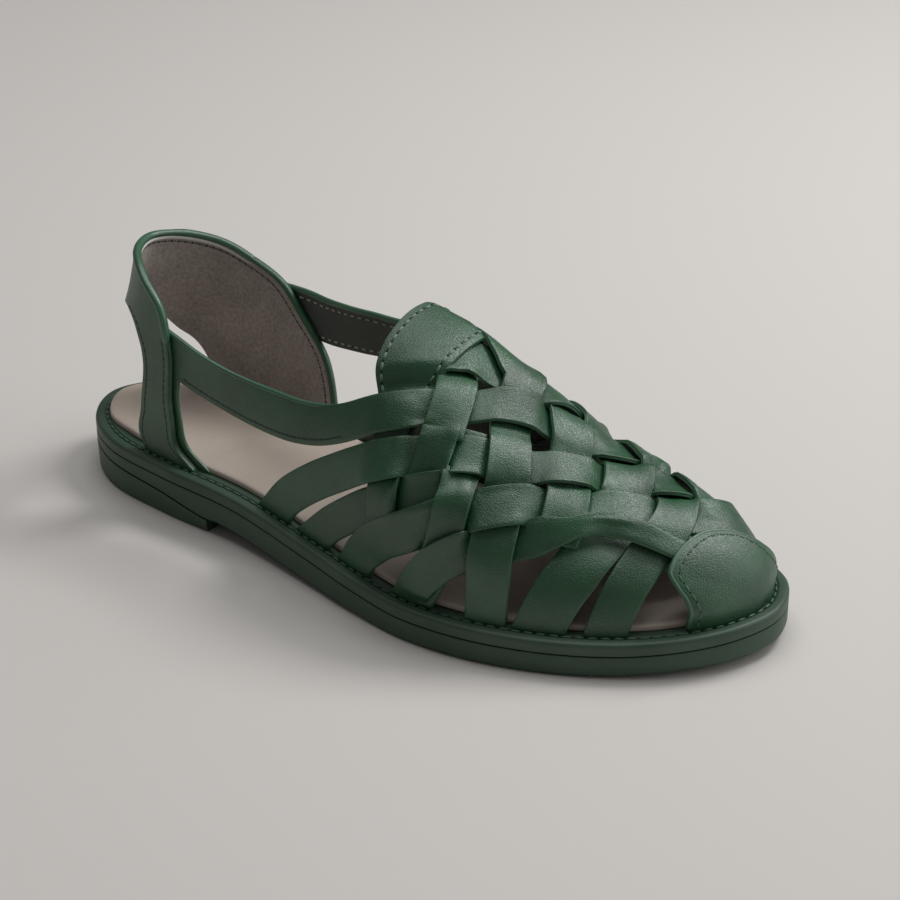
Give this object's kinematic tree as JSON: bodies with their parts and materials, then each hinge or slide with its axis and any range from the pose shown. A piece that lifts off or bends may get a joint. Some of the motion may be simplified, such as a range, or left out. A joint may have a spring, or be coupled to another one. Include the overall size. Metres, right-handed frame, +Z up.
{
  "type": "woven leather slingback flat shoe",
  "caption": "Flat summer shoe with an upper woven from broad leather strips, closed toe, open sides, wide straps, a stiffened heel counter and a low rubber sole with a small heel",
  "frame": {"origin": "on the floor plane, at the centre of the outline of the sole seen from above", "axes": "X across the foot with the outer side of this right shoe at +X, Y from heel to toe, Z up from the floor"},
  "size_m": [0.0986, 0.265, 0.0869],
  "materials": {
    "sole_rubber": "satin moulded rubber",
    "sole_edge": "satin moulded rubber",
    "footbed_leather": "smooth matt lining leather",
    "upper_leather": "satin fine grain leather"
  },
  "bodies": {
    "root": {"outsole": "sole_rubber", "heel_block": "sole_rubber", "midsole": "sole_edge", "insole": "footbed_leather", "woven_upper": "upper_leather", "toe_cap": "upper_leather", "tongue": "upper_leather", "heel_counter": "upper_leather"}
  },
  "joints": []
}
